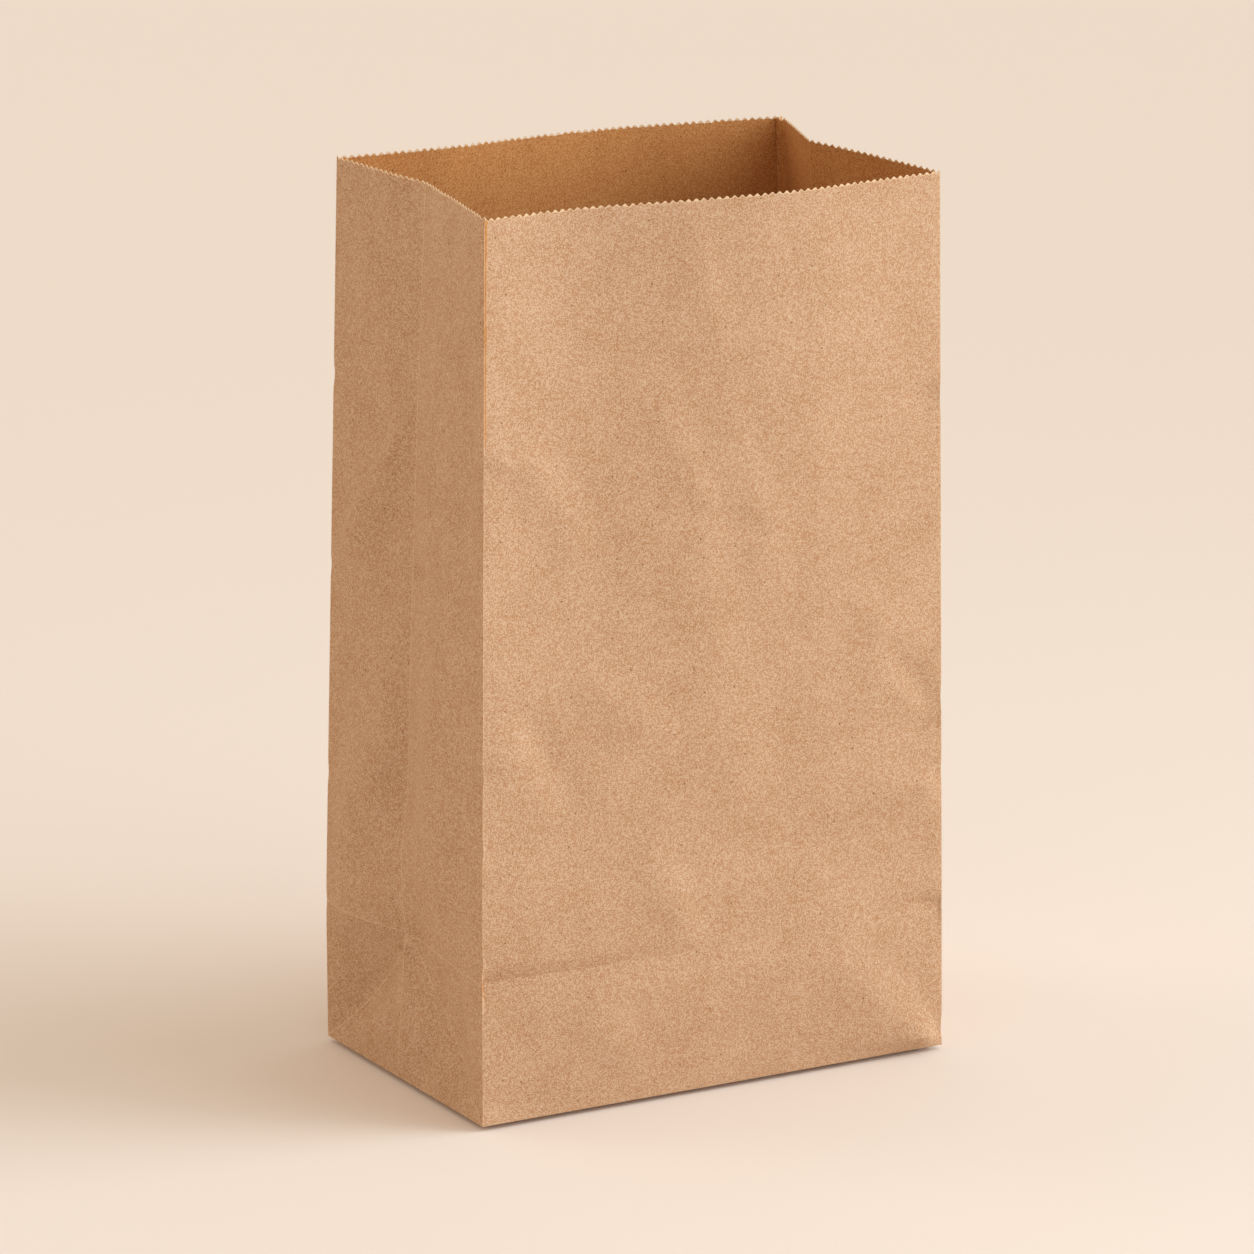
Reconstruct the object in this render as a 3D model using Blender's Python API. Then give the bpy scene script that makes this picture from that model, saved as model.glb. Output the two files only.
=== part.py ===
"""Brown paper lunch bag, standing open.

One sheet of kraft paper makes the whole bag: a gusseted tube with a long seam down
its back, a block bottom folded and glued from the tube's own end, and a pinked mouth.
Metres, +Z up, origin on the table under the middle of the base, front panel at -Y.
"""

import bmesh
import bpy
from mathutils import Vector

MM = 0.001

# Driving dimensions
WIDTH = 152 * MM  # left to right at the base
DEPTH = 92 * MM  # front to back at the base
HEIGHT = 258 * MM  # table to the tips of the front panel's teeth
PAPER = 0.16 * MM  # one ply

# Block bottom
STAR_HEIGHT = 42.6 * MM  # where the diagonal folds of each gusset meet
CREASE_Y = 3.5 * MM  # the gussets' centre creases stand this far behind the middle
FLAP_LAP = 20 * MM  # how far the front flap overlaps the back flap under the bag
FRONT_CREASE_DEPTH = 0.5 * MM  # valley left across the front by the flat-folded bottom
FRONT_CREASE_REACH = 13 * MM  # how far above and below the crease that valley fades

# Long seam on the back panel
SEAM_LEFT = 22 * MM
SEAM_RIGHT = 40 * MM

# Pinked mouth: five teeth to a column of the wall's mesh
FRONT_COLUMNS = 13
GUSSET_COLUMNS = 4  # in each half of a gusset
TEETH_PER_COLUMN = 5
TOOTH_DEPTH = 0.9 * MM
MOUTH_BAND = 5 * MM  # the row of faces that carries the teeth

BOTTOM_ROWS = 3
WALL_ROWS = 17

# How far each corner of the mouth leans from straight above its corner of the base
LEAN = {
    (-1, -1): Vector((-1.5, -0.6, 0.0)) * MM,
    (1, -1): Vector((-6.0, 2.7, 0.0)) * MM,
    (-1, 1): Vector((4.2, 2.4, 0.9)) * MM,
    (1, 1): Vector((-2.6, -0.1, 1.0)) * MM,
}
# How far the upright folds stand out sideways at the height of the star, by corner
SHOULDER = {(-1, -1): -0.3 * MM, (1, -1): 0.1 * MM, (-1, 1): -1.1 * MM, (1, 1): 0.4 * MM}

# Inward push of the gusset creases, as (height, push)
LEFT_PUSH = [(0, 0), (42.6, 2.0), (142, 2.2), (200, 4.2), (258, 7.0)]
RIGHT_PUSH = [(0, 0), (42.6, 2.0), (142, 4.5), (200, 8.5), (258, 12.5)]
LEFT_SLIDE = 1.5 * MM  # how far back each crease slides by the mouth
RIGHT_SLIDE = 6.3 * MM
LEFT_BELLY = -1.2 * MM  # a negative one curves inward
RIGHT_BELLY = 0.8 * MM

# Waves of the two wide panels at the mouth, as (across, outward)
FRONT_WAVE = [
    (-76, 0), (-64, -2.9), (-44, -2.6), (-26, 0), (-8, 3.2),
    (12, 5.4), (27, 4.8), (48, 1.8), (62, -0.3), (76, 0),
]
BACK_WAVE = [(-76, 0), (-30, 0), (-17, 4.2), (2, 4.6), (14, 7.0), (43, 4.6), (76, 0)]
WAVE_DRIFT = 14 * MM  # the front wave runs this far to the right on its way down
WAVE_FADE = 1.6  # power of height with which both waves die out downwards

NEAR = 1e-5  # distance under which two planes count as the same
FACING_BACK = 0.8  # least +Y in the normal of a face on the outside of the back


def between(points, at):
    """The value at a place along a list of (place, value) pairs, joined by straight lines."""
    for (low, first), (high, second) in zip(points, points[1:]):
        if at <= high:
            share = max(0.0, (at - low) / (high - low))
            return first + (second - first) * share
    return points[-1][1]


def eased(points, at):
    """The same, joined by curves that are level at each point."""
    for (low, first), (high, second) in zip(points, points[1:]):
        if at <= high:
            share = max(0.0, (at - low) / (high - low))
            return first + (second - first) * share * share * (3 - 2 * share)
    return points[-1][1]


def corner_mix(values, across, back):
    """The blend of four corner values at a place in the plan, both running -1 to 1."""
    total = None
    for (x_sign, y_sign), value in values.items():
        part = value * ((1 + x_sign * across) * (1 + y_sign * back) / 4)
        total = part if total is None else total + part
    return total


def slice_all(bm, point, normal):
    """Cuts every face that a plane crosses."""
    geom = bm.verts[:] + bm.edges[:] + bm.faces[:]
    bmesh.ops.bisect_plane(bm, geom=geom, dist=1e-7, plane_co=point, plane_no=normal)


def slice_faces(bm, chosen, point, normal):
    """Cuts only the faces that the test picks, and leaves their neighbours whole."""
    faces = [face for face in bm.faces if chosen(face)]
    geom = set(faces)
    for face in faces:
        geom.update(face.edges)
        geom.update(face.verts)
    bmesh.ops.bisect_plane(
        bm, geom=list(geom), dist=1e-7, plane_co=point, plane_no=normal
    )


def is_bottom(face):
    return all(abs(vert.co.z) < NEAR for vert in face.verts)


def is_back(face):
    return all(abs(vert.co.y - DEPTH / 2) < NEAR for vert in face.verts)


def is_gusset(face):
    return all(abs(abs(vert.co.x) - WIDTH / 2) < NEAR for vert in face.verts)


def open_box(bm):
    """The bag's outer skin before any folding: a floor and four walls."""
    bmesh.ops.create_grid(bm, x_segments=1, y_segments=1, size=0.5)
    bmesh.ops.scale(bm, vec=(WIDTH, DEPTH, 1), verts=bm.verts)
    walls = bmesh.ops.extrude_edge_only(bm, edges=bm.edges[:])
    top = [item for item in walls["geom"] if isinstance(item, bmesh.types.BMVert)]
    bmesh.ops.translate(bm, vec=(0, 0, HEIGHT), verts=top)
    bmesh.ops.recalc_face_normals(bm, faces=bm.faces)


def cut_bottom_folds(bm):
    """Lines of the glued flaps underneath: four diagonals and the front flap's edge."""
    half_width, half_depth = WIDTH / 2, DEPTH / 2
    for x_sign in (-1, 1):
        for y_sign in (-1, 1):
            corner = (x_sign * half_width, y_sign * half_depth, 0)
            slice_faces(bm, is_bottom, corner, (x_sign, -y_sign, 0))
    slice_faces(bm, is_bottom, (0, FLAP_LAP / 2, 0), (0, 1, 0))


def cut_wall_mesh(bm):
    """Rows and columns, with one row at the star and one column at the gusset crease."""
    for row in range(1, BOTTOM_ROWS + 1):
        slice_all(bm, (0, 0, STAR_HEIGHT * row / BOTTOM_ROWS), (0, 0, 1))
    wall = HEIGHT - MOUTH_BAND - STAR_HEIGHT
    for row in range(1, WALL_ROWS + 1):
        slice_all(bm, (0, 0, STAR_HEIGHT + wall * row / WALL_ROWS), (0, 0, 1))
    for column in range(1, FRONT_COLUMNS):
        slice_all(bm, (WIDTH * (column / FRONT_COLUMNS - 0.5), 0, 0), (1, 0, 0))
    for column in range(1, 2 * GUSSET_COLUMNS):
        share = column / GUSSET_COLUMNS
        if column <= GUSSET_COLUMNS:
            place = -DEPTH / 2 + (CREASE_Y + DEPTH / 2) * share
        else:
            place = CREASE_Y + (DEPTH / 2 - CREASE_Y) * (share - 1)
        slice_all(bm, (0, place, 0), (0, 1, 0))


def cut_star_folds(bm):
    """The diagonal folds of both gussets, from the star to the corners of the base."""
    for y_sign in (-1, 1):

        def chosen(face, y_sign=y_sign):
            middle = face.calc_center_median()
            low = middle.z < STAR_HEIGHT
            return is_gusset(face) and low and (middle.y - CREASE_Y) * y_sign > 0

        run = DEPTH / 2 - y_sign * CREASE_Y
        slice_faces(bm, chosen, (0, CREASE_Y, STAR_HEIGHT), (0, y_sign * STAR_HEIGHT, run))


def cut_seam_lines(bm):
    for place in (SEAM_LEFT, SEAM_RIGHT):
        slice_faces(bm, is_back, (place, 0, 0), (1, 0, 0))


def tooth_drop(co):
    """How far a rim vertex lies under the tips: every second one is a valley."""
    if abs(abs(co.y) - DEPTH / 2) < NEAR:
        step = WIDTH / FRONT_COLUMNS / (2 * TEETH_PER_COLUMN)
        place = co.x + WIDTH / 2
    else:
        run = DEPTH / 2 + (CREASE_Y if co.y < CREASE_Y else -CREASE_Y)
        step = run / GUSSET_COLUMNS / (2 * TEETH_PER_COLUMN)
        place = abs(co.y - CREASE_Y)
    return TOOTH_DEPTH * (round(place / step) % 2)


def pink_mouth(bm):
    """Cuts the mouth's edge into small teeth."""
    rim = [edge for edge in bm.edges if edge.is_boundary]
    step = WIDTH / FRONT_COLUMNS / (2 * TEETH_PER_COLUMN)
    for edge in rim:
        cuts = max(1, round(edge.calc_length() / step)) - 1
        bmesh.ops.subdivide_edges(bm, edges=[edge], cuts=cuts)
    for vert in bm.verts:
        if vert.is_boundary:
            vert.co.z -= tooth_drop(vert.co)


def gusset_move(co, push_points, slide, belly):
    """(inward, backward) move of a gusset point: a fold pushed in along its crease."""
    half = DEPTH / 2 + (CREASE_Y if co.y < CREASE_Y else -CREASE_Y)
    off_crease = abs(co.y - CREASE_Y) / half
    rise = co.z / HEIGHT
    weight = min(1 - off_crease, co.z / STAR_HEIGHT)
    push = between(push_points, co.z / MM) * MM
    if co.z < STAR_HEIGHT:
        push = between(push_points, STAR_HEIGHT / MM) * MM
    inward = push * weight
    if co.y < CREASE_Y:
        inward -= belly * 4 * off_crease * (1 - off_crease) * rise**3
    return inward, slide * weight * rise


def wave(points, x, rise, drift):
    """Outward move of a wide panel: the mouth's wave, fading and drifting downwards."""
    return eased(points, (x - drift * (1 - rise)) / MM) * MM * rise**WAVE_FADE


def front_crease(z):
    """Depth of the valley across the front panel at this height."""
    return FRONT_CREASE_DEPTH * max(0.0, 1 - abs(z - STAR_HEIGHT) / FRONT_CREASE_REACH)


def stand_open(bm):
    """Moves every vertex from the straight box to the bag as it stands."""
    for vert in bm.verts:
        co = vert.co.copy()
        rise = co.z / HEIGHT
        across, back = 2 * co.x / WIDTH, 2 * co.y / DEPTH
        moved = co + corner_mix(LEAN, across, back) * rise
        below = co.z / STAR_HEIGHT
        above = (HEIGHT - co.z) / (HEIGHT - STAR_HEIGHT)
        moved.x += corner_mix(SHOULDER, across, back) * min(below, above)
        if abs(abs(across) - 1) < NEAR:
            left = across < 0
            push = LEFT_PUSH if left else RIGHT_PUSH
            slide = LEFT_SLIDE if left else RIGHT_SLIDE
            belly = LEFT_BELLY if left else RIGHT_BELLY
            inward, backward = gusset_move(co, push, slide, belly)
            moved.x += inward if left else -inward
            moved.y += backward
        elif abs(back + 1) < NEAR:
            moved.y -= wave(FRONT_WAVE, co.x, rise, WAVE_DRIFT) - front_crease(co.z)
        elif abs(back - 1) < NEAR:
            moved.y += wave(BACK_WAVE, co.x, rise, 0)
        vert.co = moved


def add_ply(bm, faces, move):
    """Thickens the paper over some faces by one more ply, and returns its outer faces."""
    made = bmesh.ops.extrude_face_region(bm, geom=faces)["geom"]
    verts = [item for item in made if isinstance(item, bmesh.types.BMVert)]
    bmesh.ops.translate(bm, vec=move, verts=verts)
    bmesh.ops.delete(bm, geom=faces, context="FACES")
    return [item for item in made if isinstance(item, bmesh.types.BMFace)]


def in_flap(face, side):
    """Whether a face of the bottom lies in the front (side -1) or the back (side 1) flap."""
    middle = face.calc_center_median()
    past_middle = -side * middle.y
    half_length = (WIDTH - DEPTH) / 2 - past_middle
    return past_middle < FLAP_LAP / 2 and abs(middle.x) < half_length


def glue_bottom(bm):
    """Lays the back flap, then the front flap over it, on the underside."""
    floor = [face for face in bm.faces if is_bottom(face)]
    both = [face for face in floor if in_flap(face, -1) or in_flap(face, 1)]
    plies = add_ply(bm, both, (0, 0, -PAPER))
    add_ply(bm, [face for face in plies if in_flap(face, -1)], (0, 0, -PAPER))


def glue_seam(bm):
    """The second ply of the long seam, laid on the outside of the back panel."""
    strip = []
    for face in bm.faces:
        middle = face.calc_center_median()
        outside = middle.y > 0 and face.normal.y > FACING_BACK
        if outside and SEAM_LEFT < middle.x < SEAM_RIGHT:
            strip.append(face)
    add_ply(bm, strip, (0, PAPER, 0))


def kraft_paper():
    material = bpy.data.materials.new("kraft_paper")
    material.use_nodes = True
    shader = material.node_tree.nodes["Principled BSDF"]
    shader.inputs["Base Color"].default_value = (0.46, 0.27, 0.14, 1)
    shader.inputs["Roughness"].default_value = 0.85
    shader.inputs["Metallic"].default_value = 0.0
    return material


def paper_bag():
    bm = bmesh.new()
    open_box(bm)
    cut_bottom_folds(bm)
    cut_wall_mesh(bm)
    cut_star_folds(bm)
    cut_seam_lines(bm)
    pink_mouth(bm)
    stand_open(bm)
    bmesh.ops.triangulate(bm, faces=bm.faces)
    bmesh.ops.solidify(bm, geom=bm.faces[:], thickness=PAPER)
    glue_bottom(bm)
    glue_seam(bm)
    bmesh.ops.translate(bm, vec=(0, 0, 2 * PAPER), verts=bm.verts)
    mesh = bpy.data.meshes.new("paper_bag")
    bm.to_mesh(mesh)
    bm.free()
    mesh.materials.append(kraft_paper())
    return mesh


def main():
    for old in list(bpy.data.objects):
        bpy.data.objects.remove(old)
    bag = bpy.data.objects.new("paper_bag", paper_bag())
    bpy.context.scene.collection.objects.link(bag)


main()
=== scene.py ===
"""Looks of a brown paper lunch bag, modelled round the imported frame.

One sheet of kraft paper: a gusseted tube standing open on its folded block bottom,
with a pinked mouth, sharp upright folds and the soft creases of a bag that was stored
flat. The panel in the 3D view's sidebar holds the sizes and colours to change.
"""

import math

import bmesh
import bpy
import numpy as np
from bpy.props import FloatProperty, FloatVectorProperty, IntProperty, PointerProperty
from mathutils import Matrix, Vector, noise


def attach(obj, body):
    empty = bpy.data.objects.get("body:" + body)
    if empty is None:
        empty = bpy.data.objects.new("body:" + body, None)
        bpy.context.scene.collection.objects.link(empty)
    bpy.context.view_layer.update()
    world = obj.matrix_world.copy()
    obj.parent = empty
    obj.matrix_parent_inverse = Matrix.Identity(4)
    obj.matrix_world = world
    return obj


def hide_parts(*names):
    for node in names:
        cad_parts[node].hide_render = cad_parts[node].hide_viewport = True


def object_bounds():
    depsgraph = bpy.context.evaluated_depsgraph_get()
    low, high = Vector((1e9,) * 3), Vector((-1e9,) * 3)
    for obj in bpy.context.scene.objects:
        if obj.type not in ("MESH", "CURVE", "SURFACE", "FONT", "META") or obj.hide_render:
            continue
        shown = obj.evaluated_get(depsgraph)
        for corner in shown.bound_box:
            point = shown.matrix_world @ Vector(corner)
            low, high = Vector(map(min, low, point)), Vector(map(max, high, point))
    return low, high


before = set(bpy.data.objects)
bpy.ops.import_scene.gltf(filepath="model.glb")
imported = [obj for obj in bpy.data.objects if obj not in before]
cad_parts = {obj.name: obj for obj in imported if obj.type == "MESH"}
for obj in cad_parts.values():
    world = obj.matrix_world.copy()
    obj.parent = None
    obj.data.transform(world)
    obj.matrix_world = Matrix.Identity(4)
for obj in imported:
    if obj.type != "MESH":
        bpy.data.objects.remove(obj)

bl_info = {
    "name": "Paper Lunch Bag",
    "version": (1, 0, 0),
    "blender": (4, 5, 0),
    "location": "View3D > Sidebar > Paper Bag",
    "description": "Makes a creased kraft paper lunch bag and a plain studio for it",
    "category": "Object",
}

MM = 0.001
NEAR = 0.01 * MM  # distance under which two places count as the same
NODE = "paper_bag"
CAD_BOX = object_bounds()
CAD_POINTS = [vert.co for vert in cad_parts[NODE].data.vertices]
RESTING = [co for co in CAD_POINTS if co.z < CAD_BOX[0].z + 0.05 * MM]

# The base is measured on the face that rests: the front bottom flap, whose long edge
# is the foot of the front panel
WIDTH = max(co.x for co in RESTING) - min(co.x for co in RESTING)
DEPTH = -2 * min(co.y for co in RESTING)
HALF_WIDTH, HALF_DEPTH = WIDTH / 2, DEPTH / 2
MOUTH_RISE = 1.0 * MM  # the back of the mouth stands this much above the front
FLAP_PLIES = 2  # plies under the floor where the bottom flaps lap

# The wall's mesh: coarse rows and columns on the folds, then an even subdivision
SEAM = (22 * MM, 40 * MM)  # across the back panel
FRONT_COLUMNS = 13
GUSSET_COLUMNS = 4  # in each half of a gusset
BOTTOM_ROWS = 4  # as many as the gusset's columns, so the star's diagonals meet corners
WALL_ROWS = 17
FINER = 5  # cuts across each coarse cell
RIM_FINER = 4  # further cuts across each fine cell along the mouth's edge
# Cuts beside the upright folds, on each gusset and on each wide panel
GUSSET_PINCHES, PANEL_PINCH = (0.45 * MM, 1.1 * MM, 3.2 * MM), 1.1 * MM

# How far each corner of the mouth leans from straight above its corner of the base
LEAN = {
    (-1, -1): (-1.5, -0.6, 0.0),
    (1, -1): (-6.0, 2.7, 0.0),
    (-1, 1): (4.2, 2.4, 0.9),
    (1, 1): (-2.6, -0.1, 1.0),
}
# How far the upright folds stand out sideways at the height of the star, by corner
SHOULDER = {(-1, -1): -0.3, (1, -1): 0.1, (-1, 1): -1.1, (1, 1): 0.4}

# Inward push and backward slide of the gusset creases, as (height, move)
LEFT_PUSH = [
    (0, 0), (42.6, 2.7), (52, 1.9), (65, 1.2), (81, 1.6), (142, 2.2), (200, 4.2), (258, 7),
]
LEFT_SLIDE = [(0, 0), (42.6, 0), (65, 2.4), (81, 2.0), (142, 0.9), (258, 1.5)]
RIGHT_PUSH = [(0, 0), (42.6, 2.0), (142, 4.5), (200, 7.6), (258, 10.2)]
RIGHT_SLIDE = [(0, 0), (258, 7.4)]
LEFT_BELLY, RIGHT_BELLY = -1.2, 0.8  # outward curve of a gusset's front half there
# A gusset dips more steeply beside its crease, by so much and within these reaches
LEFT_CUSP, RIGHT_CUSP, CUSP_FRONT, CUSP_REAR = 2.6, 0, 11, 13
# How far each upright fold is still pinched flat at its foot and at the mouth, and how
# far that is felt, by corner
PINCHED = {
    (-1, -1): (0.2, 1.0, 4),
    (1, -1): (0.1, 0.2, 8),
    (-1, 1): (0.1, 0.2, 8),
    (1, 1): (0.6, 1.7, 5),
}
PINCH_SLIDE = 0.8  # share of that pull by which the strip slides to the wide panel
HARD_FOLD = 0.22  # crest of the pressed folds of the star and the base
BASE_LIFT, BASE_LIFT_REACH = 1.3, 9  # the folded foot's edges stand clear of the floor

# Waves of the two wide panels at the mouth, as (across, outward)
FRONT_WAVE = [(-76, 0), (-50, -3.4), (-6, 3.0), (20, 5.2), (76, 0)]
BACK_WAVE = [(-76, 0), (-30, 0), (-17, 4.2), (2, 4.6), (14, 7.0), (43, 4.6), (76, 0)]
WAVE_DRIFT = 14  # the front wave runs this far to the right on its way down
WAVE_FADE = 1.6  # power of height with which both waves die out downwards
WAVE_ROUNDING = 12  # reach over which the corners of a wave are rounded

# Creases of each wall: (start, end, height, reach to the left, reach to the right).
# Places are (across, up) on the flat wall in millimetres, left and right are as seen
# looking from start to end, and a positive height stands out. A "fan" is strongest at
# its start, where it leaves a fold, a "span" in its middle, and a "wedge" grows from a
# point on a fold, so it makes a flat facet beside it.
FRONT_FANS = [
    ((-77, 191), (-54, 190), 1.5, 5, 7),
    ((77, 196), (30, 188), -1.1, 15, 10),
    ((77, 80), (22, 82), 1.6, 24, 11),
    ((77, 99), (46, 96), -1.3, 7, 9),
    ((77, 45), (46, 45), -1.5, 4, 6),
    ((78, -4), (22, 46), 3.2, 30, 16),
    ((-77, 1), (-34, 14), -1.4, 12, 6),
    ((-77, 103), (-52, 109), 1.0, 6, 5),
    ((-77, 78), (-48, 85), -1.0, 5, 7),
    ((77, 122), (52, 108), -1.0, 7, 7),
    ((-77, 150), (-56, 146), -0.7, 6, 7),
]
FRONT_SPANS = [
    ((-66, 198), (-42, 158), 0.8, 10, 11),
    ((-52, 130), (-12, 104), 0.6, 10, 12),
    ((-66, 124), (-46, 90), -0.9, 9, 8),
    ((-14, 262), (5, 196), 0.45, 8, 20),
    ((-22, 212), (0, 158), 0.6, 6, 14),
    ((0, 208), (17, 154), 0.4, 7, 18),
    ((-12, 178), (5, 112), 0.55, 12, 26),
    ((2, 130), (8, 80), 0.6, 14, 20),
    ((18, 162), (-16, 171), -0.6, 5, 6),
    ((38, 144), (76, 110), 0.55, 9, 8),
    ((54, 128), (78, 99), -0.9, 8, 6),
    ((-26, 82), (-8, 42), 0.7, 8, 12),
    ((22, 262), (26, 200), -0.4, 12, 14),
    ((-34, 58), (34, 66), 0.7, 8, 9),
    ((28, 30), (-24, 20), 0.6, 9, 8),
    ((34, 176), (18, 130), -0.4, 12, 12),
    ((-46, 30), (-20, 8), 0.6, 9, 10),
]
LEFT_FANS = [
    ((3, 147), (-26, 155), -2.0, 8, 7),
    ((-47, 150), (-18, 138), -1.8, 12, 10),
    ((-47, 102), (-8, 58), 1.4, 16, 12),
    ((47, 196), (20, 205), -1.2, 8, 8),
    ((47, 140), (18, 147), -1.6, 9, 8),
    ((47, 232), (20, 244), -1.4, 8, 10),
    ((-47, 46), (-6, 50), 0.8, 8, 8),
]
LEFT_SPANS = [
    ((58, 26), (6, 110), 2.8, 15, 22),
    ((52, 41), (-4, 45), 1.8, 9, 20),
    ((52, -6), (-4, 49), -4.0, 10, 19),
    ((-52, -8), (10, 52), -2.6, 24, 14),
    ((-24, 172), (-12, 50), 1.5, 10, 22),
    ((46, 246), (6, 210), 1.4, 12, 12),
    ((-40, 212), (-30, 154), -1.4, 10, 10),
    ((-14, 28), (-9, -4), -1.2, 7, 6),
    ((2, 64), (1, -14), 1.0, 5, 5),
    ((-16, 120), (-22, 48), 0.9, 10, 22),
]
LEFT_WEDGES = [
    ((2, 200), (44, 134), 3.6, 12, 24),
]
RIGHT_FANS = [
    ((46, 150), (10, 176), 0.7, 9, 9),
    ((-46, 196), (-14, 186), 0.6, 8, 9),
    ((-46, 60), (-10, 92), 0.8, 10, 12),
    ((3, 120), (30, 96), -0.6, 8, 8),
    ((46, 62), (20, 56), 0.4, 8, 6),
    ((3, 205), (-20, 230), 0.5, 9, 7),
]
RIGHT_SPANS = [
    ((30, 240), (12, 190), 0.5, 9, 10),
    ((-34, 150), (-18, 104), 0.6, 9, 9),
    ((1, 40), (1, 2), 0.3, 5, 5),
]
RIGHT_WEDGES = [((2, 118), (-34, 60), 1.6, 22, 10)]
BACK_FANS = [
    ((-76, 172), (-34, 184), 0.6, 8, 9),
    ((76, 210), (42, 200), 0.5, 8, 8),
    ((76, 118), (40, 104), -0.6, 8, 10),
    ((-76, 66), (-40, 82), 0.6, 9, 8),
    ((-77, -1), (-36, 32), 1.1, 9, 20),
    ((77, -1), (44, 26), 0.9, 16, 9),
]
BACK_SPANS = [
    ((-40, 240), (-22, 190), 0.6, 9, 12),
    ((8, 150), (-16, 104), 0.7, 10, 9),
    ((46, 170), (60, 130), -0.5, 8, 8),
    ((-58, 140), (-40, 104), 0.5, 8, 8),
    ((30, 90), (56, 60), 0.5, 9, 8),
]
# Nicks in the upright folds: (height, depth, half length), by corner
FOLD_NICKS = {
    (-1, -1): [(102, 0.35, 4), (81, 0.45, 3), (49, 0.4, 3), (226, 0.2, 4)],
    (1, -1): [(193, 0.3, 5), (106, 0.3, 5), (84, 0.25, 4), (44, 0.1, 4), (6, 0.4, 6)],
    (-1, 1): [(196, 0.45, 4), (141, 0.35, 3), (42, 0.3, 4), (80, 0.3, 4)],
    (1, 1): [(170, 0.5, 4), (92, 0.5, 4), (40, 0.4, 3)],
}
NICK_REACH = 10  # how far into each wall a nick of a fold is felt
# How near the upright folds the creases of a gusset and of a wide panel fade out
GUSSET_EDGE, PANEL_EDGE = 15, 6
CREASE_CLEAR = 3  # and how near the centre crease of a gusset
GROUNDED = 5  # below this height the walls straighten towards the table

# Slow unevenness of the paper: (wave length, height) in millimetres
COCKLE = [(46, 0.55), (17, 0.16), (7, 0.045)]
COCKLE_REACH = 14  # it is weaker within this distance of a pressed fold
# Valley along the base crease of the wide panels, as (across, depth)
BASE_CREASE = [
    (-76, 2.0), (-50, 1.6), (-24, 1.1), (10, 0.4), (40, 0.2), (60, 0.5), (76, 0.6),
]
CREASE_ABOVE, CREASE_BELOW = 4.6, 11  # reach of that valley up and down
CREASE_ROWS = (-1.0, 0.9, 3.2)  # extra rows beside it
FOOT_BULGE, FOOT_BULGE_HEIGHT = 3.2, 35  # the wide panels bulge between foot and crease
NOISE_SEED = Vector((3.1, 7.7, 1.3))
SHARP_ANGLE = 28  # degrees between faces past which an edge is drawn sharp

# Patterns of the paper: size of the features in millimetres, the range of the noise
# that is stretched to 0..1, and its detail, roughness and distortion
PAPER_NOISE = {
    "clouds": (13, 0.22, 0.78, 3.0, 0.5, 0.0),
    "flocs": (2.6, 0.3, 0.7, 3.0, 0.6, 0.0),
    # Single fibres are about 0.03 mm wide: these two are drawn coarser, so they show
    "grain": (1.3, 0.36, 0.64, 1.5, 0.5, 2.4),
    "hairs": (0.34, 0.4, 0.6, 0.0, 0.5, 0.7),
}
SPECK_SPACING = 4.2 * MM
SPECK_EDGE = (0.085, 0.05)  # radius of a speck, outside and core, in spacings
WORN_EDGE = (0.42 * MM, 0.05 * MM)  # how far the wear on a fold reaches, and its core
CUT_EDGE_HIGHLIGHT = (0.84, 0.95)  # where the pale cut fibres and the painted highlight of the lit cut edge show, as a share of the rim's last cells


class BagSizes(bpy.types.PropertyGroup):
    ply: FloatProperty(
        name="Paper", description="Thickness of one ply", default=0.16 * MM,
        subtype="DISTANCE", unit="LENGTH",
    )
    star_height: FloatProperty(
        name="Star height",
        description="Height at which the diagonal folds of each gusset meet",
        default=42.6 * MM, subtype="DISTANCE", unit="LENGTH",
    )
    crease_offset: FloatProperty(
        name="Gusset crease",
        description="How far behind the middle the gussets' centre creases stand",
        default=3.5 * MM, subtype="DISTANCE", unit="LENGTH",
    )
    tooth_depth: FloatProperty(
        name="Tooth depth", description="Depth of the pinked mouth's teeth",
        default=0.8 * MM, subtype="DISTANCE", unit="LENGTH",
    )
    teeth: IntProperty(
        name="Teeth", description="Teeth along each wide panel's mouth", default=63
    )
    lap: FloatProperty(
        name="Flap lap",
        description="How far the front bottom flap overlaps the back one",
        default=20 * MM, subtype="DISTANCE", unit="LENGTH",
    )
    creasing: FloatProperty(
        name="Creasing", description="Strength of the soft creases", default=1.25
    )


def linear(hex_colour):
    """Linear RGB of an sRGB hex colour."""
    parts = [int(hex_colour[i : i + 2], 16) / 255 for i in (1, 3, 5)]
    return tuple(
        part / 12.92 if part <= 0.04045 else ((part + 0.055) / 1.055) ** 2.4
        for part in parts
    )


def colour_property(name, description, hex_colour):
    return FloatVectorProperty(
        name=name, description=description, default=linear(hex_colour),
        subtype="COLOR", size=3, min=0.0, max=1.0,
    )


class BagColours(bpy.types.PropertyGroup):
    kraft: colour_property("Kraft", "Main tone of the paper", "#C79E7D")
    shade: colour_property("Shade", "Darker clouds in the paper", "#AB7A51")
    fibre: colour_property("Fibre", "Pale fibres and worn creases", "#D4BCA0")
    fleck: colour_property("Fleck", "Dark specks of bark in the pulp", "#7A5230")
    # Inside: painted light, a redder tint of the inner face that stands for light soaking
    # through the sheet
    inside: colour_property("Inside", "Tint of the unlit inner face", "#FFDDA8")
    # Cut edge colour: pale fibres on worn folds and at the cut mouth; at the mouth it is
    # also a painted highlight, widened to stand for the lit cut edge
    pale_fibres_and_rim_highlight: colour_property("Cut edge", "Fresh fibres at the cut mouth", "#E2C4A0")


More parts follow.
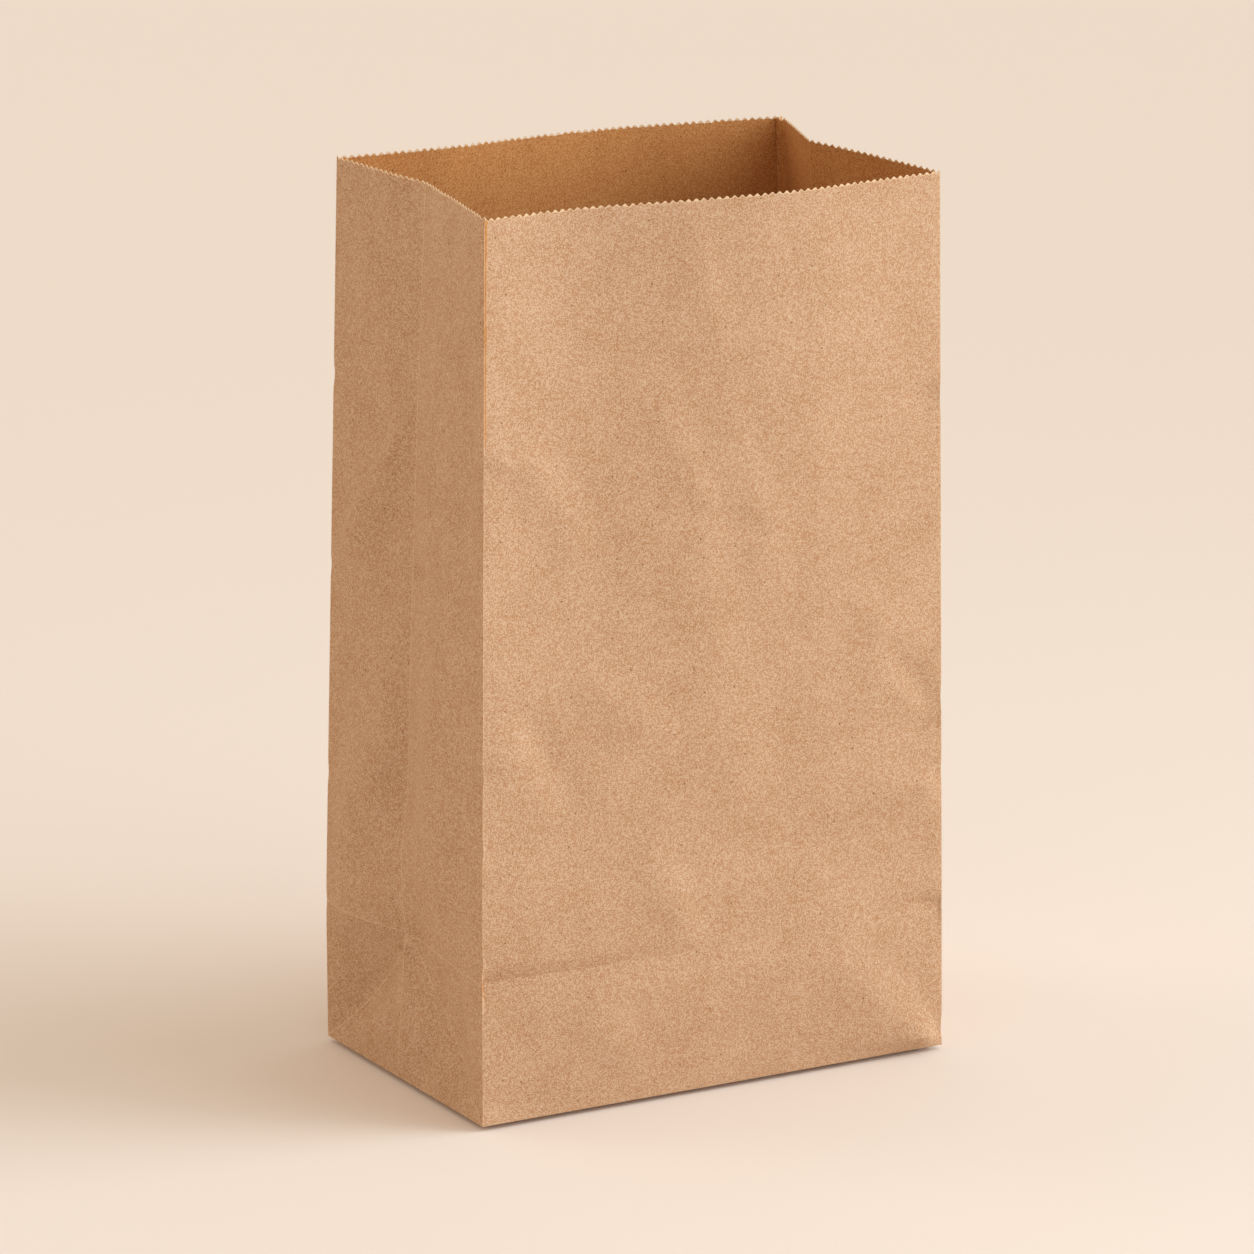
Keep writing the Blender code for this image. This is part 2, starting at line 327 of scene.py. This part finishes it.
class StudioSettings(bpy.types.PropertyGroup):
    floor: colour_property("Floor", "Colour of the floor", "#F2E9E2")
    sky: colour_property("Surround", "Colour of the light all round", "#DCCDBB")
    sky_strength: FloatProperty(
        name="Surround strength", description="Brightness of the surround", default=0.99
    )
    key_strength: FloatProperty(
        name="Key light", description="Strength of the main soft light", default=2.75
    )
    near_power: FloatProperty(
        name="Near light",
        description="Power of the softbox near the front",
        default=1.45, subtype="POWER", unit="POWER",
    )
    fill_strength: FloatProperty(
        name="Fill light", description="Strength of the soft light behind the left side",
        default=0.45,
    )
    lens: FloatProperty(
        name="Lens", description="Focal length of the camera",
        default=185.1, subtype="DISTANCE_CAMERA",
    )


# ---- The flat box: the bag's outer skin before any folding ----


def slice_all(bm, point, normal):
    """Cuts every face that a plane crosses."""
    geom = bm.verts[:] + bm.edges[:] + bm.faces[:]
    bmesh.ops.bisect_plane(bm, geom=geom, dist=1e-7, plane_co=point, plane_no=normal)


def slice_faces(bm, chosen, point, normal):
    """Cuts only the faces that the test picks, and leaves their neighbours whole."""
    faces = [face for face in bm.faces if chosen(face)]
    geom = dict.fromkeys(faces)
    for face in faces:
        geom.update(dict.fromkeys(face.edges))
        geom.update(dict.fromkeys(face.verts))
    bmesh.ops.bisect_plane(
        bm, geom=list(geom), dist=1e-7, plane_co=point, plane_no=normal
    )


def is_bottom(face):
    return all(abs(vert.co.z) < NEAR for vert in face.verts)


def is_back(face):
    return all(vert.co.y > HALF_DEPTH - NEAR for vert in face.verts)


def open_box(bm, height):
    """A floor and four walls."""
    bmesh.ops.create_grid(bm, x_segments=1, y_segments=1, size=0.5)
    bmesh.ops.scale(bm, vec=(WIDTH, DEPTH, 1), verts=bm.verts)
    walls = bmesh.ops.extrude_edge_only(bm, edges=bm.edges[:])
    top = [item for item in walls["geom"] if isinstance(item, bmesh.types.BMVert)]
    bmesh.ops.translate(bm, vec=(0, 0, height), verts=top)
    bmesh.ops.recalc_face_normals(bm, faces=bm.faces)


def cut_rows(bm, height, star):
    for row in range(1, BOTTOM_ROWS + 1):
        slice_all(bm, (0, 0, star * row / BOTTOM_ROWS), (0, 0, 1))
    for row in range(1, WALL_ROWS):
        slice_all(bm, (0, 0, star + (height - star) * row / WALL_ROWS), (0, 0, 1))


def cut_crease_rows(bm, star):
    for step in CREASE_ROWS:
        slice_all(bm, (0, 0, star + step * MM), (0, 0, 1))


def cut_columns(bm, crease):
    for column in range(1, FRONT_COLUMNS):
        slice_all(bm, (WIDTH * (column / FRONT_COLUMNS - 0.5), 0, 0), (1, 0, 0))
    for column in range(GUSSET_COLUMNS):
        share = column / GUSSET_COLUMNS
        slice_all(bm, (0, crease - (crease + HALF_DEPTH) * share, 0), (0, 1, 0))
        if column:
            slice_all(bm, (0, crease + (HALF_DEPTH - crease) * share, 0), (0, 1, 0))


def cut_star_folds(bm, star, crease):
    """The diagonal folds of both gussets, from the star to the corners of the base."""
    for side in (-1, 1):

        def chosen(face, side=side):
            middle = face.calc_center_median()
            on_gusset = abs(abs(middle.x) - HALF_WIDTH) < NEAR
            return on_gusset and middle.z < star and (middle.y - crease) * side > 0

        run = HALF_DEPTH - side * crease
        slice_faces(bm, chosen, (0, crease, star), (0, side * star, run))


def cut_pinch_strips(bm):
    """Narrow strips of faces along each upright fold, mostly on the gusset."""
    for side in (-1, 1):
        slice_all(bm, (side * (HALF_WIDTH - PANEL_PINCH), 0, 0), (1, 0, 0))
        for width in GUSSET_PINCHES:
            slice_all(bm, (0, side * (HALF_DEPTH - width), 0), (0, 1, 0))


def cut_bottom_folds(bm, lap):
    """Lines of the glued flaps underneath: four diagonals and the front flap's edge."""
    for x_side in (-1, 1):
        for y_side in (-1, 1):
            corner = (x_side * HALF_WIDTH, y_side * HALF_DEPTH, 0)
            slice_faces(bm, is_bottom, corner, (x_side, -y_side, 0))
    slice_faces(bm, is_bottom, (0, lap / 2, 0), (0, 1, 0))


def pink_mouth(bm, teeth, depth):
    """Cuts the mouth's edge into small round-tipped teeth."""
    rim = [edge for edge in bm.edges if edge.is_boundary]
    bmesh.ops.subdivide_edges(bm, edges=rim, cuts=RIM_FINER)
    pitch = WIDTH / teeth
    gusset_pitch = DEPTH / round(DEPTH / pitch)
    for vert in bm.verts:
        if not vert.is_boundary:
            continue
        if abs(abs(vert.co.y) - HALF_DEPTH) < NEAR:
            turn = (vert.co.x + HALF_WIDTH) / pitch
        else:
            turn = (vert.co.y + HALF_DEPTH) / gusset_pitch
        uneven = 1 + 0.25 * noise.noise(vert.co * 400 + NOISE_SEED)
        vert.co.z -= depth * uneven * (0.5 - 0.5 * math.cos(math.tau * turn))


# ---- From the flat box to the bag as it stands, in millimetres ----


def corner_mix(values, across, back):
    """The blend of four corner values at places in the plan, both running -1 to 1."""
    total = 0
    for (x_side, y_side), value in values.items():
        weight = (1 + x_side * across) * (1 + y_side * back) / 4
        total = total + np.multiply.outer(weight, value)
    return total


def straight(points, at):
    """The value at places along (place, value) points joined by straight lines."""
    places, values = np.array(points, float).T
    return np.interp(at, places, values)


def rounded(points, at, reach):
    """The same with the corners rounded, by averaging over a reach on either side."""
    taps = [straight(points, at + reach * tap) for tap in (-1, -0.5, 0, 0.5, 1)]
    return sum(taps) / len(taps)


def crease_relief(across, up, start, end, height, left, right, kind):
    """Height of one crease: a tent across its line, soft at the crest and the foot."""
    start, end = np.array(start, float), np.array(end, float)
    length = np.linalg.norm(end - start)
    along = (end - start) / length
    at = ((across - start[0]) * along[0] + (up - start[1]) * along[1]) / length
    off = (across - start[0]) * -along[1] + (up - start[1]) * along[0]
    inside = np.clip(at, 0, 1)
    widening = {"fan": 0.45 + 0.75 * inside, "span": 1.0, "wedge": 0.02 + inside}[kind]
    reach = np.where(off > 0, left, right) * widening
    tent = np.clip(1 - np.abs(off) / reach, 0, 1)
    tent = 0.55 * tent + 0.45 * tent * tent * (3 - 2 * tent)
    if kind == "fan":
        fade = (1 - inside) ** 1.2 * np.clip(1 + at * length / 3, 0, 1)
    elif kind == "span":
        fade = np.sin(math.pi * inside) ** 0.7
    else:
        fade = np.minimum(inside / 0.7, (1 - inside) / 0.3)
    return height * tent * fade


def wall_creases(across, up, fans, spans, wedges=()):
    relief = np.zeros_like(across)
    for kind, creases in (("fan", fans), ("span", spans), ("wedge", wedges)):
        for crease in creases:
            relief += crease_relief(across, up, *crease, kind)
    return relief


def cockle(points, amount):
    """Slow unevenness of dried paper at each point."""
    relief = np.zeros(len(points))
    for length, height in COCKLE:
        shift = NOISE_SEED * length
        relief += height * np.array(
            [noise.noise((Vector(point) + shift) / length) for point in points]
        )
    return amount * relief


def gusset_fold(y, z, star, crease, push_points, slide, bend, height):
    """(inward, backward) move of gusset points: a fold pushed in along its crease."""
    belly, cusp = bend
    front = y < crease
    half = np.where(front, HALF_DEPTH / MM + crease, HALF_DEPTH / MM - crease)
    off = np.abs(y - crease) / half
    rise = z / height
    weight = np.minimum(1 - off, z / star)
    push = straight(push_points, np.maximum(z, star))
    inward = push * weight - np.where(front, belly * 4 * off * (1 - off) * rise**3, 0)
    reach = np.where(front, CUSP_FRONT, CUSP_REAR)
    dip = np.clip(1 - off * half / reach, 0, 1) * np.clip(z / star - 1, 0, 1)
    return inward + cusp * dip * (1 - 0.7 * rise**3), straight(slide, z) * weight


def base_crease(x, z, star):
    """Depth of the valley the base crease leaves across the wide panels."""
    reach = np.where(z > star, CREASE_ABOVE, CREASE_BELOW)
    return straight(BASE_CREASE, x) * np.clip(1 - np.abs(z - star) / reach, 0, 1) ** 1.3


def fold_distance(flat, star, crease):
    """Distance from each point to the nearest pressed fold of its wall."""
    x, y, z = flat.T
    half_w, half_d = HALF_WIDTH / MM, HALF_DEPTH / MM
    gusset = np.abs(np.abs(x) - half_w) < 1e-3
    to_corner = (half_w - np.abs(x)) + (half_d - np.abs(y))
    half = np.where(y < crease, half_d + crease, half_d - crease)
    up_star = star * (1 - np.abs(y - crease) / half)
    to_diagonal = np.abs(z - up_star) * half / np.hypot(half, star)
    to_folds = np.minimum(np.abs(y - crease), np.abs(z - star))
    to_folds = np.minimum(to_folds, np.where(z <= star, to_diagonal, 99))
    return np.minimum(to_corner, np.where(gusset, to_folds, np.abs(z - star) + 0.25))


def hard_folds(flat, star, crease):
    """Crests of the star's folds: only points right on a fold are lifted."""
    x, y, z = flat.T
    on_fold = (fold_distance(flat, star, crease) < 0.02) & (z < star + 0.1) & (z > 1)
    return np.where(on_fold & (np.abs(y) < HALF_DEPTH / MM - 1), HARD_FOLD, 0)


def pinch(x, y, rise):
    """Pulls the edge strip of each gusset flat against its wide panel."""
    move = np.zeros((len(x), 3))
    gusset = np.abs(np.abs(x) - HALF_WIDTH / MM) < 1e-3
    for (x_side, y_side), (foot, mouth, reach) in PINCHED.items():
        strip = foot + (mouth - foot) * np.clip(rise * 3 - 2, 0, 1)
        gap = HALF_DEPTH / MM - y_side * y
        near = gusset & (x_side * x > 0) & (gap < reach)
        pull = np.minimum(gap, strip) * np.clip((reach - gap) / (reach - strip), 0, 1)
        pull = np.where(near, pull * np.clip(rise * 20, 0, 1), 0)
        move[:, 0] -= x_side * pull
        move[:, 1] += y_side * pull * PINCH_SLIDE
    return move


def edge_fade(across, half, reach):
    """0 on the upright folds, 1 from a little way into a wall."""
    return np.clip((half - np.abs(across)) / reach, 0, 1)


def nick_relief(x, y, z):
    """Inward dents along the four upright folds, felt a little way into both walls."""
    relief = np.zeros_like(z)
    for (x_side, y_side), nicks in FOLD_NICKS.items():
        gap = np.abs(x - x_side * HALF_WIDTH / MM) + np.abs(y - y_side * HALF_DEPTH / MM)
        near = np.clip(1 - gap / NICK_REACH, 0, 1) ** 2
        for place, depth, half in nicks:
            relief += depth * near * np.clip(1 - np.abs(z - place) / half, 0, 1)
    return relief


def stand_open(flat, sizes, height):
    """Moves the flat box's points, in millimetres, to the bag as it stands."""
    x, y, z = flat.T
    half_w, half_d = HALF_WIDTH / MM, HALF_DEPTH / MM
    star, crease = sizes.star_height / MM, sizes.crease_offset / MM
    rise, across, back = z / height, x / half_w, y / half_d
    moved = flat + corner_mix(LEAN, across, back) * rise[:, None]
    shoulder = np.minimum(z / star, (height - z) / (height - star))
    moved[:, 0] += corner_mix(SHOULDER, across, back) * shoulder

    soft = sizes.creasing
    to_fold = fold_distance(flat, star, crease)
    uneven = cockle(flat, soft) * np.clip(to_fold / COCKLE_REACH, 0.15, 1)
    grounded = np.clip(z / GROUNDED, 0, 1)
    nicks = nick_relief(x, y, z) * grounded
    creased = base_crease(x, z, star)
    hard = hard_folds(flat, star, crease)

    left, right = np.abs(across + 1) < 1e-4, np.abs(across - 1) < 1e-4
    front = (np.abs(back + 1) < 1e-4) & ~left & ~right
    rear = (np.abs(back - 1) < 1e-4) & ~left & ~right
    left_creases = (LEFT_FANS, LEFT_SPANS, LEFT_WEDGES)
    right_creases = (RIGHT_FANS, RIGHT_SPANS, RIGHT_WEDGES)
    for wall, side, push, slide, bend, creases in (
        (left, -1, LEFT_PUSH, LEFT_SLIDE, (LEFT_BELLY, LEFT_CUSP), left_creases),
        (right, 1, RIGHT_PUSH, RIGHT_SLIDE, (RIGHT_BELLY, RIGHT_CUSP), right_creases),
    ):
        fold = gusset_fold(y[wall], z[wall], star, crease, push, slide, bend, height)
        clear = np.clip(np.abs(y[wall] - crease) / CREASE_CLEAR, 0, 1)
        out = soft * clear * wall_creases(y[wall], z[wall], *creases) + uneven[wall]
        out = out * edge_fade(y[wall], half_d, GUSSET_EDGE) * grounded[wall] + hard[wall]
        moved[wall, 0] += side * (out - fold[0] - nicks[wall])
        moved[wall, 1] += fold[1]
    for wall, side, points, drift, fans, spans in (
        (front, -1, FRONT_WAVE, WAVE_DRIFT, FRONT_FANS, FRONT_SPANS),
        (rear, 1, BACK_WAVE, 0, BACK_FANS, BACK_SPANS),
    ):
        tall = rise[wall]
        inward = 1 - across[wall] ** 2
        place = x[wall] - drift * (1 - tall) * inward
        reach = np.minimum(WAVE_ROUNDING, half_w - np.abs(x[wall]))
        wave = rounded(points, place, reach) * tall**WAVE_FADE
        out = soft * wall_creases(x[wall], z[wall], fans, spans) + uneven[wall]
        out = out * edge_fade(x[wall], half_w, PANEL_EDGE) * grounded[wall] - creased[wall]
        bulge = np.minimum(z[wall] / FOOT_BULGE_HEIGHT, 2 - z[wall] / FOOT_BULGE_HEIGHT)
        out += FOOT_BULGE * np.clip(bulge, 0, 1) * inward
        moved[wall, 1] += side * (out + wave - nicks[wall])
    moved += pinch(x, y, rise)
    to_edge = np.minimum(half_w - np.abs(x), half_d - np.abs(y))
    from_foot = np.clip(1 - np.hypot(to_edge, z) / BASE_LIFT_REACH, 0, 1)
    moved[:, 2] += BASE_LIFT * from_foot**2
    return moved


def add_inner_skin(bm, ply):
    """Gives the sheet its thickness: a second skin inside, joined round the mouth."""
    bm.normal_update()
    inner = bm.verts.layers.float.new("inner")
    geom = bm.verts[:] + bm.edges[:] + bm.faces[:]
    made = bmesh.ops.extrude_face_region(bm, geom=geom, use_keep_orig=True)["geom"]
    for item in made:
        if isinstance(item, bmesh.types.BMVert):
            item.co -= item.normal * ply
            item[inner] = 1.0
    bmesh.ops.recalc_face_normals(bm, faces=bm.faces)


def add_ply(bm, faces, move):
    """Thickens the paper over some faces by one more ply, and returns its outer faces."""
    made = bmesh.ops.extrude_face_region(bm, geom=faces)["geom"]
    verts = [item for item in made if isinstance(item, bmesh.types.BMVert)]
    bmesh.ops.translate(bm, vec=move, verts=verts)
    bmesh.ops.delete(bm, geom=faces, context="FACES")
    return [item for item in made if isinstance(item, bmesh.types.BMFace)]


def in_flap(face, side, lap):
    """Whether a face of the bottom lies in the front (side -1) or the back (side 1) flap."""
    middle = face.calc_center_median()
    past_middle = -side * middle.y
    return past_middle < lap / 2 and abs(middle.x) < (WIDTH - DEPTH) / 2 - past_middle


def on_seam(face, flat_place):
    """Whether a face belongs to the outer ply of the long seam down the back."""
    places = [vert[flat_place] for vert in face.verts]
    middle = sum((place.x for place in places)) / len(places)
    on_back = all(place.y > HALF_DEPTH - NEAR for place in places)
    return on_back and SEAM[0] < middle < SEAM[1]


def glue_bottom(bm, ply, lap):
    """Lays the back flap, then the front flap over it, on the underside."""
    floor = [face for face in bm.faces if is_bottom(face)]
    both = [face for face in floor if in_flap(face, -1, lap) or in_flap(face, 1, lap)]
    plies = add_ply(bm, both, (0, 0, -ply))
    add_ply(bm, [face for face in plies if in_flap(face, -1, lap)], (0, 0, -ply))


def bag_mesh(sizes):
    """The whole bag as one closed mesh."""
    height = CAD_BOX[1].z - MOUTH_RISE - FLAP_PLIES * sizes.ply
    bm = bmesh.new()
    open_box(bm, height)
    cut_rows(bm, height, sizes.star_height)
    cut_columns(bm, sizes.crease_offset)
    cut_star_folds(bm, sizes.star_height, sizes.crease_offset)
    bmesh.ops.subdivide_edges(bm, edges=bm.edges[:], cuts=FINER, use_grid_fill=True)
    cut_pinch_strips(bm)
    for place in SEAM:
        slice_faces(bm, is_back, (place, 0, 0), (1, 0, 0))
    cut_crease_rows(bm, sizes.star_height)
    cut_bottom_folds(bm, sizes.lap)
    pink_mouth(bm, sizes.teeth, sizes.tooth_depth)
    flat = np.array([vert.co for vert in bm.verts]) / MM
    star, crease = sizes.star_height / MM, sizes.crease_offset / MM
    to_fold = fold_distance(flat, star, crease) * MM
    flat_place = bm.verts.layers.float_vector.new("flat")
    fold_gap = bm.verts.layers.float.new("fold_gap")
    cut = bm.verts.layers.float.new("cut")
    stood = stand_open(flat, sizes, height / MM) * MM
    for index, vert in enumerate(bm.verts):
        vert[flat_place] = vert.co
        vert[fold_gap] = to_fold[index]
        # The mouth's edge, where the painted highlight of the cut edge is laid
        vert[cut] = float(vert.is_boundary)
        vert.co = stood[index]
    bmesh.ops.triangulate(bm, faces=bm.faces)
    seam = [face for face in bm.faces if on_seam(face, flat_place)]
    add_inner_skin(bm, sizes.ply)
    seam = [face for face in seam if face.is_valid]
    add_ply(bm, seam, (0, sizes.ply, 0))
    glue_bottom(bm, sizes.ply, sizes.lap)
    bmesh.ops.translate(bm, vec=(0, 0, FLAP_PLIES * sizes.ply), verts=bm.verts)
    mesh = bpy.data.meshes.new("kraft_bag")
    bm.to_mesh(mesh)
    bm.free()
    mesh.shade_smooth()
    mesh.set_sharp_from_angle(angle=math.radians(SHARP_ANGLE))
    return mesh


# ---- Materials ----


def add(tree, kind, inputs=(), **settings):
    """Adds a node with its settings, and feeds (input name or index, socket or value)."""
    node = tree.nodes.new(kind)
    for name, value in settings.items():
        if hasattr(node, name):
            setattr(node, name, value)
        else:
            node.inputs[name.replace("_", " ").title()].default_value = value
    for target, source in inputs:
        if isinstance(source, bpy.types.NodeSocket):
            tree.links.new(node.inputs[target], source)
        else:
            node.inputs[target].default_value = source
    return node


def kraft_paper(colours):
    """Unbleached kraft: matt brown, clouded by uneven fibre, with pale fibres and a few
    dark specks, which gives the eye a warm, dry, slightly hairy sheet."""
    material = bpy.data.materials.new("kraft_paper")
    material.use_nodes = True
    tree = material.node_tree
    shader = tree.nodes["Principled BSDF"]
    flat, fold_gap, cut, inner = (
        add(tree, "ShaderNodeAttribute", attribute_name=name)
        for name in ("flat", "fold_gap", "cut", "inner")
    )
    on_sheet = [("Vector", flat.outputs["Vector"])]

    patterns = {}
    for name, (size, low, high, detail, roughness, distortion) in PAPER_NOISE.items():
        texture = add(
            tree, "ShaderNodeTexNoise", on_sheet, scale=1 / (size * MM),
            detail=detail, roughness=roughness, distortion=distortion,
        )
        patterns[name] = (texture.outputs["Fac"], (low, high))
    specks = add(tree, "ShaderNodeTexVoronoi", on_sheet, scale=1 / SPECK_SPACING)
    patterns["specks"] = (specks.outputs["Distance"], SPECK_EDGE)
    patterns["worn"] = (fold_gap.outputs["Fac"], WORN_EDGE)
    # The band along the mouth is partly painted highlight: it stands for the lit cut edge as
    # well as its paler cut fibres
    patterns["cut"] = (cut.outputs["Fac"], CUT_EDGE_HIGHLIGHT)
    share = {}
    for name, (value, (low, high)) in patterns.items():
        stretched = add(
            tree, "ShaderNodeMapRange", [("Value", value)], from_min=low, from_max=high
        )
        share[name] = stretched.outputs["Result"]

    kraft, shade, fibre = (*colours.kraft, 1), (*colours.shade, 1), (*colours.fibre, 1)
    pale_fibres_and_highlight = (*colours.pale_fibres_and_rim_highlight, 1)
    hair = add(
        tree, "ShaderNodeMix", [("Factor", share["hairs"]), (6, shade), (7, fibre)],
        data_type="RGBA",
    )
    tone = shade
    for where, amount, colour, how in (
        (share["clouds"], 1.0, kraft, "MIX"),
        (share["flocs"], 0.35, kraft, "MIX"),
        (share["grain"], 0.12, fibre, "MIX"),
        (1.0, 0.6, hair.outputs[2], "MIX"),
        (share["specks"], 0.8, (*colours.fleck, 1), "MIX"),
        (share["worn"], 0.32, pale_fibres_and_highlight, "MIX"),
        # Light soaks through the sheet and comes out redder: a tint stands for it inside
        (inner.outputs["Fac"], 1.0, (*colours.inside, 1), "MULTIPLY"),
        # Painted highlight along the mouth: the lit cut edge, with its pale cut fibres
        (share["cut"], 1.0, pale_fibres_and_highlight, "MIX"),
    ):
        factor = add(
            tree, "ShaderNodeMath", [(0, where), (1, amount)],
            operation="MULTIPLY", use_clamp=True,
        )
        laid = [("Factor", factor.outputs["Value"]), (6, tone), (7, colour)]
        node = add(tree, "ShaderNodeMix", laid, data_type="RGBA", blend_type=how)
        tone = node.outputs[2]
    tree.links.new(shader.inputs["Base Color"], tone)

    bump = add(
        tree, "ShaderNodeBump", [("Height", share["grain"])],
        strength=0.4, distance=0.06 * MM,
    )
    tree.links.new(shader.inputs["Normal"], bump.outputs["Normal"])
    shader.inputs["Roughness"].default_value = 0.88
    shader.inputs["IOR"].default_value = 1.45
    shader.inputs["Specular IOR Level"].default_value = 0.3
    return material


def floor_paint(colour):
    """Matt studio board: one even pale tone."""
    material = bpy.data.materials.new("studio_board")
    material.use_nodes = True
    shader = material.node_tree.nodes["Principled BSDF"]
    shader.inputs["Base Color"].default_value = (*colour, 1)
    shader.inputs["Roughness"].default_value = 0.95
    shader.inputs["Specular IOR Level"].default_value = 0.1
    return material


# ---- Studio ----


CAMERA_AZIMUTH, CAMERA_ELEVATION = -30.565, 14.692  # degrees
CAMERA_DISTANCE = 1.832861
CAMERA_TARGET = Vector((-0.004219, 0, 0.1257))
CAMERA_ROLL = 0.656
# Lights: (azimuth, elevation) in degrees, the spread of a far softbox in degrees or the
# distance and size of a near one in metres, and the colour
KEY_PLACE, KEY_SPREAD, KEY_COLOUR = (64, 14.5), 45, (0.87, 0.94, 1.0)
FILL_PLACE, FILL_SPREAD, FILL_COLOUR = (-130, 20), 32, (1.0, 0.86, 0.70)
NEAR_PLACE, NEAR_DISTANCE, NEAR_SIZE = (34, 44), 0.8, 0.5
NEAR_COLOUR = (0.80, 0.93, 1.0)
FLOOR_RADIUS = 12.0


def toward(azimuth, elevation):
    """Unit vector from the object to a place at these angles; 0 azimuth is the front."""
    a, e = math.radians(azimuth), math.radians(elevation)
    return Vector((math.sin(a) * math.cos(e), -math.cos(a) * math.cos(e), math.sin(e)))


def add_camera(scene, settings):
    camera = bpy.data.objects.new("camera", bpy.data.cameras.new("camera"))
    scene.collection.objects.link(camera)
    back = toward(CAMERA_AZIMUTH, CAMERA_ELEVATION)
    turn = (-back).to_track_quat("-Z", "Y").to_matrix().to_4x4()
    roll = Matrix.Rotation(math.radians(CAMERA_ROLL), 4, "Z")
    place = Matrix.Translation(CAMERA_TARGET + back * CAMERA_DISTANCE)
    camera.matrix_world = place @ turn @ roll
    camera.data.sensor_width = 36
    camera.data.lens = settings.lens
    camera.data.clip_end = 50
    scene.camera = camera


def add_soft_light(scene, name, place, spread, strength, colour):
    """A large, far softbox: a sun lamp with a wide disc, which lights the floor evenly."""
    data = bpy.data.lights.new(name, "SUN")
    data.angle = math.radians(spread)
    data.energy = strength
    data.color = colour
    light = bpy.data.objects.new(name, data)
    scene.collection.objects.link(light)
    back = toward(*place)
    light.location = back
    light.rotation_euler = (-back).to_track_quat("-Z", "Y").to_euler()


def add_near_light(scene, power):
    """A softbox near the front, which lights the top of the bag more than its foot."""
    data = bpy.data.lights.new("near", "AREA")
    data.shape, data.size = "DISK", NEAR_SIZE
    data.energy = power
    data.color = NEAR_COLOUR
    light = bpy.data.objects.new("near", data)
    scene.collection.objects.link(light)
    back = toward(*NEAR_PLACE)
    light.location = CAMERA_TARGET + back * NEAR_DISTANCE
    light.rotation_euler = (-back).to_track_quat("-Z", "Y").to_euler()


# ---- Operators ----


class BAG_OT_make_bag(bpy.types.Operator):
    """Make the creased paper bag in place of the plain CAD solid"""

    bl_idname = "paper_bag.make_bag"
    bl_label = "Paper Bag"

    def execute(self, context):
        bag = bpy.data.objects.new("kraft_bag", bag_mesh(context.scene.bag_sizes))
        context.scene.collection.objects.link(bag)
        bag.data.materials.append(kraft_paper(context.scene.bag_colours))
        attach(bag, "root")
        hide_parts(NODE)
        return {"FINISHED"}


class BAG_OT_make_studio(bpy.types.Operator):
    """Make the pale floor, the soft light and the camera"""

    bl_idname = "paper_bag.make_studio"
    bl_label = "Studio"

    def execute(self, context):
        scene = context.scene
        settings = scene.bag_studio
        bm = bmesh.new()
        bmesh.ops.create_circle(bm, cap_ends=True, radius=FLOOR_RADIUS, segments=64)
        mesh = bpy.data.meshes.new("floor")
        bm.to_mesh(mesh)
        bm.free()
        floor = bpy.data.objects.new("floor", mesh)
        floor.data.materials.append(floor_paint(settings.floor))
        scene.collection.objects.link(floor)

        world = bpy.data.worlds.new("studio")
        world.use_nodes = True
        background = world.node_tree.nodes["Background"]
        background.inputs["Color"].default_value = (*settings.sky, 1)
        background.inputs["Strength"].default_value = settings.sky_strength
        scene.world = world
        scene.view_settings.view_transform = "Standard"
        key, fill = settings.key_strength, settings.fill_strength
        add_soft_light(scene, "key", KEY_PLACE, KEY_SPREAD, key, KEY_COLOUR)
        add_soft_light(scene, "fill", FILL_PLACE, FILL_SPREAD, fill, FILL_COLOUR)
        add_near_light(scene, settings.near_power)
        add_camera(scene, settings)
        return {"FINISHED"}


class BAG_PT_panel(bpy.types.Panel):
    """Sizes, colours and the buttons that make each piece"""

    bl_idname = "BAG_PT_panel"
    bl_label = "Paper Bag"
    bl_space_type = "VIEW_3D"
    bl_region_type = "UI"
    bl_category = "Paper Bag"

    def draw(self, context):
        scene = context.scene
        for group in (scene.bag_sizes, scene.bag_colours, scene.bag_studio):
            box = self.layout.box()
            for name in group.__annotations__:
                box.prop(group, name)
        self.layout.operator(BAG_OT_make_bag.bl_idname)
        self.layout.operator(BAG_OT_make_studio.bl_idname)


CLASSES = (
    BagSizes,
    BagColours,
    StudioSettings,
    BAG_OT_make_bag,
    BAG_OT_make_studio,
    BAG_PT_panel,
)


def register():
    for cls in CLASSES:
        bpy.utils.register_class(cls)
    bpy.types.Scene.bag_sizes = PointerProperty(type=BagSizes)
    bpy.types.Scene.bag_colours = PointerProperty(type=BagColours)
    bpy.types.Scene.bag_studio = PointerProperty(type=StudioSettings)


def unregister():
    del bpy.types.Scene.bag_studio
    del bpy.types.Scene.bag_colours
    del bpy.types.Scene.bag_sizes
    for cls in reversed(CLASSES):
        bpy.utils.unregister_class(cls)


def clear_start_scene():
    """Removes the start-up objects, and leaves the loaded frame."""
    for name in ("Cube", "Light", "Camera"):
        if name in bpy.data.objects:
            bpy.data.objects.remove(bpy.data.objects[name])


def main():
    clear_start_scene()
    register()
    bpy.ops.paper_bag.make_bag()
    bpy.ops.paper_bag.make_studio()


if __name__ == "__main__":
    main()
